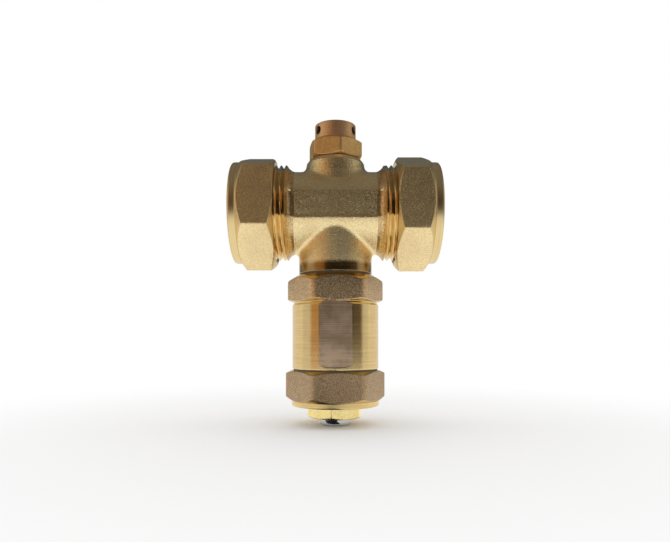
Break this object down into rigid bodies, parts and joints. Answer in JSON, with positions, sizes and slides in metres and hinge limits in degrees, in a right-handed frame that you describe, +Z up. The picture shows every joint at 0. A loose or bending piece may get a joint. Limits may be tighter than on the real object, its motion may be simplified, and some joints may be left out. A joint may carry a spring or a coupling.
{
  "type": "anti-freeze valve",
  "caption": "Brass anti-freeze valve for a pipe run: compression tee with a thermostatic drain cartridge below and a vacuum breaker above.",
  "frame": {"origin": "centre of the drain tip's lower end, the lowest point of the valve", "axes": "+Z up the branch towards the vacuum breaker, +X along the run of pipe towards the right socket, -Y out of the front, where the marking flats are"},
  "size_m": [0.071, 0.039, 0.105],
  "materials": {
    "forged_brass": "sandblasted forging",
    "turned_brass": "fine turned",
    "vent_brass": "polished",
    "stainless_steel": "polished",
    "spring_steel": "drawn wire",
    "rubber": "matt",
    "gasket_fibre": "matt",
    "copper": "drawn"
  },
  "bodies": {
    "valve": {"tee_body": "forged_brass", "neck_gasket": "gasket_fibre", "cartridge_housing": "forged_brass", "cap_gasket": "gasket_fibre", "drain_cap": "forged_brass", "drain_seat": "turned_brass", "drain_tip": "stainless_steel", "seat_o_ring": "rubber", "capsule_cage": "stainless_steel", "lift_spring": "spring_steel", "load_spring": "spring_steel", "vent_gasket": "gasket_fibre", "vent_body": "vent_brass", "vent_bonnet": "vent_brass", "vent_spring": "spring_steel", "vent_retainer": "stainless_steel"},
    "left_ring": {"left_ring": "turned_brass"},
    "left_nut": {"left_nut": "forged_brass"},
    "right_ring": {"right_ring": "turned_brass"},
    "right_nut": {"right_nut": "forged_brass"},
    "shutter": {"shutter": "turned_brass", "shutter_seal": "rubber", "thermostat_piston": "stainless_steel"},
    "thermostat": {"thermostat_guide": "turned_brass", "thermostat_bulb": "copper"},
    "vent_disc": {"vent_disc": "turned_brass", "vent_disc_seal": "rubber"}
  },
  "joints": [
    {"name": "left_nut_travel", "type": "slide", "parent": "valve", "child": "left_ring", "axis": [-1, 0, 0], "range_m": [0, 0.00726]},
    {"name": "left_nut_turn", "type": "hinge", "parent": "left_ring", "child": "left_nut", "pos_m": [-0.027, 0, 0.07425], "axis": [-1, 0, 0], "range_deg": [0, 1440]},
    {"name": "right_nut_travel", "type": "slide", "parent": "valve", "child": "right_ring", "axis": [1, 0, 0], "range_m": [0, 0.00726]},
    {"name": "right_nut_turn", "type": "hinge", "parent": "right_ring", "child": "right_nut", "pos_m": [0.027, 0, 0.07425], "axis": [1, 0, 0], "range_deg": [0, 1440]},
    {"name": "shutter_lift", "type": "slide", "parent": "valve", "child": "shutter", "axis": [0, 0, 1], "range_m": [0, 0.002], "stiffness_N_per_m": 500, "springref_m": -0.004, "deforming": ["lift_spring"]},
    {"name": "thermostat_overtravel", "type": "slide", "parent": "valve", "child": "thermostat", "axis": [0, 0, 1], "range_m": [0, 0.0015], "stiffness_N_per_m": 2000, "springref_m": -0.005, "deforming": ["load_spring"]},
    {"name": "vent_disc_drop", "type": "slide", "parent": "valve", "child": "vent_disc", "axis": [0, 0, -1], "range_m": [0, 0.0015], "stiffness_N_per_m": 60, "springref_m": -0.002, "deforming": ["vent_spring"]}
  ],
  "couplings": [
    {"joint": "left_nut_travel", "follows": "left_nut_turn", "m_per_rad": 0.00028871},
    {"joint": "right_nut_travel", "follows": "right_nut_turn", "m_per_rad": 0.00028871}
  ]
}
